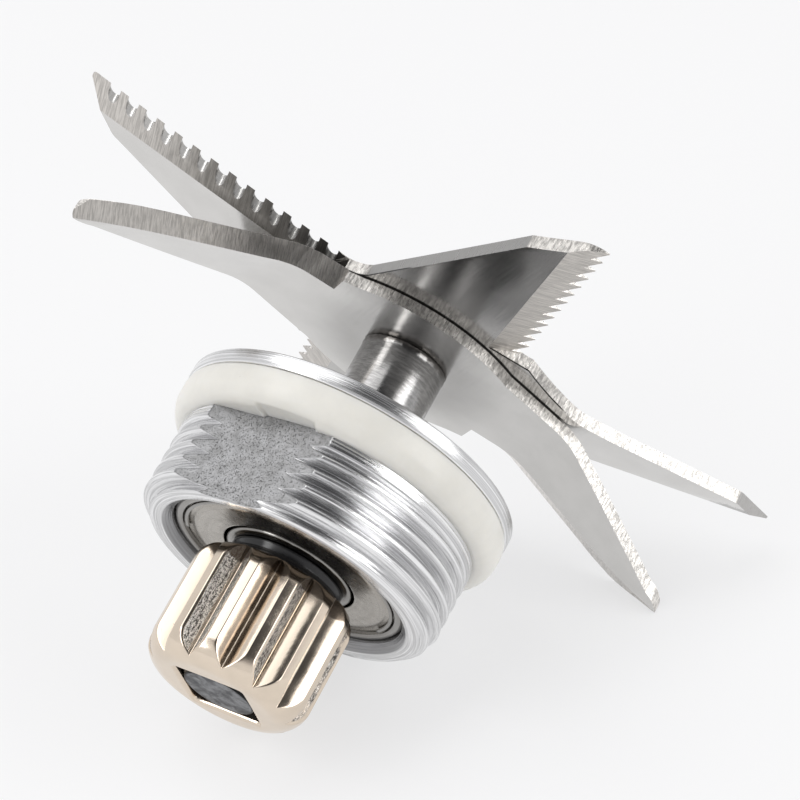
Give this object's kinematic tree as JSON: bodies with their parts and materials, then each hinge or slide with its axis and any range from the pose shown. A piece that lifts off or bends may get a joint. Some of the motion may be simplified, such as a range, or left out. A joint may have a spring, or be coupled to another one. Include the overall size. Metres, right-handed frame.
{
  "type": "blender blade assembly",
  "caption": "Screw-in blender blade assembly: two bent, toothed blade plates on a ball-bearing spindle in a threaded housing with a seal, a gasket and a splined drive coupling.",
  "frame": {"origin": "on the spindle axis, in the plane of the flange face that the gasket seats on", "axes": "+Z along the spindle axis towards the blades, +X along one of the two long upturned wings"},
  "size_m": [0.0728, 0.0664, 0.0418],
  "materials": {
    "housing_aluminium": "turned bright, with rough cast flats",
    "gasket_silicone": "translucent off-white silicone",
    "bearing_steel": "ground bearing steel",
    "shield_steel": "pressed sheet, satin",
    "cage_steel": "pressed ribbon",
    "seal_steel": "zinc plated",
    "seal_rubber": "black moulded rubber",
    "blade_steel": "fine brushed stainless sheet with ground edges",
    "shaft_steel": "ground bright stainless",
    "coupling_metal": "warm nickel plated sintered metal",
    "washer_rubber": "black, smooth"
  },
  "bodies": {
    "housing": {"housing": "housing_aluminium", "gasket": "gasket_silicone", "bearing_outer_ring": "bearing_steel", "lower_shield": "shield_steel", "lower_shield_ring": "bearing_steel", "upper_shield": "shield_steel", "upper_shield_ring": "bearing_steel", "seal_case": "seal_steel", "seal_lip": "seal_rubber", "seal_spring": "seal_steel"},
    "rotor": {"shaft": "shaft_steel", "drive_coupling": "coupling_metal", "drive_washer": "washer_rubber", "bearing_inner_ring": "bearing_steel", "shaft_circlip": "bearing_steel", "lower_blade": "blade_steel", "upper_blade": "blade_steel", "blade_washer": "shaft_steel"},
    "cage": {"cage_lower_half": "cage_steel", "cage_upper_half": "cage_steel", "ball_1": "bearing_steel", "ball_2": "bearing_steel", "ball_3": "bearing_steel", "ball_4": "bearing_steel", "ball_5": "bearing_steel", "ball_6": "bearing_steel", "ball_7": "bearing_steel"}
  },
  "joints": [
    {"name": "rotor_spin", "type": "hinge", "parent": "housing", "child": "rotor", "pos_m": [0, 0, 0], "axis": [0, 0, 1], "continuous": true},
    {"name": "cage_spin", "type": "hinge", "parent": "housing", "child": "cage", "pos_m": [0, 0, -0.0071], "axis": [0, 0, 1], "continuous": true}
  ],
  "couplings": [
    {"joint": "cage_spin", "follows": "rotor_spin", "ratio": 0.368}
  ]
}
